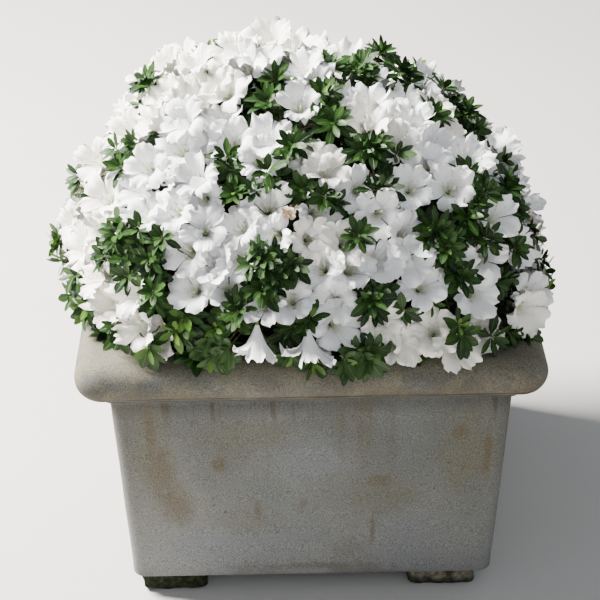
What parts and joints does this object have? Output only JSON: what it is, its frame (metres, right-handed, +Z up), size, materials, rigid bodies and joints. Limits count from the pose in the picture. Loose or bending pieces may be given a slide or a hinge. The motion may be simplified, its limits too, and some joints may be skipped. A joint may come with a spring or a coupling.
{
  "type": "potted azalea shrub",
  "caption": "Dome-shaped flowering shrub with white ruffled blooms and dark leaves, in a square tapered cast-concrete planter with a rounded rim and low feet.",
  "frame": {"origin": "on the ground under the middle of the planter", "axes": "+Z up, the planter's front faces -Y, +X to the right as seen from the front"},
  "size_m": [0.621, 0.6102, 0.6769],
  "materials": {
    "concrete": "matte",
    "mossy_concrete": "matte",
    "soil": "matte",
    "bark": "matte",
    "foliage": "matte"
  },
  "bodies": {
    "root": {"planter": "concrete", "foot_front_left": "mossy_concrete", "foot_front_right": "mossy_concrete", "foot_back_left": "mossy_concrete", "foot_back_right": "mossy_concrete", "soil": "soil", "stem": "bark", "bough_crown_left": "bark", "foliage_crown_left": "foliage", "bough_crown_back": "bark", "foliage_crown_back": "foliage", "bough_crown_right": "bark", "foliage_crown_right": "foliage", "bough_crown_front": "bark", "foliage_crown_front": "foliage", "bough_right": "bark", "foliage_right": "foliage", "bough_back_right": "bark", "foliage_back_right": "foliage", "bough_back": "bark", "foliage_back": "foliage", "bough_back_left": "bark", "foliage_back_left": "foliage", "bough_left": "bark", "foliage_left": "foliage", "bough_front_left": "bark", "foliage_front_left": "foliage", "bough_front": "bark", "foliage_front": "foliage", "bough_front_right": "bark", "foliage_front_right": "foliage"}
  },
  "joints": []
}
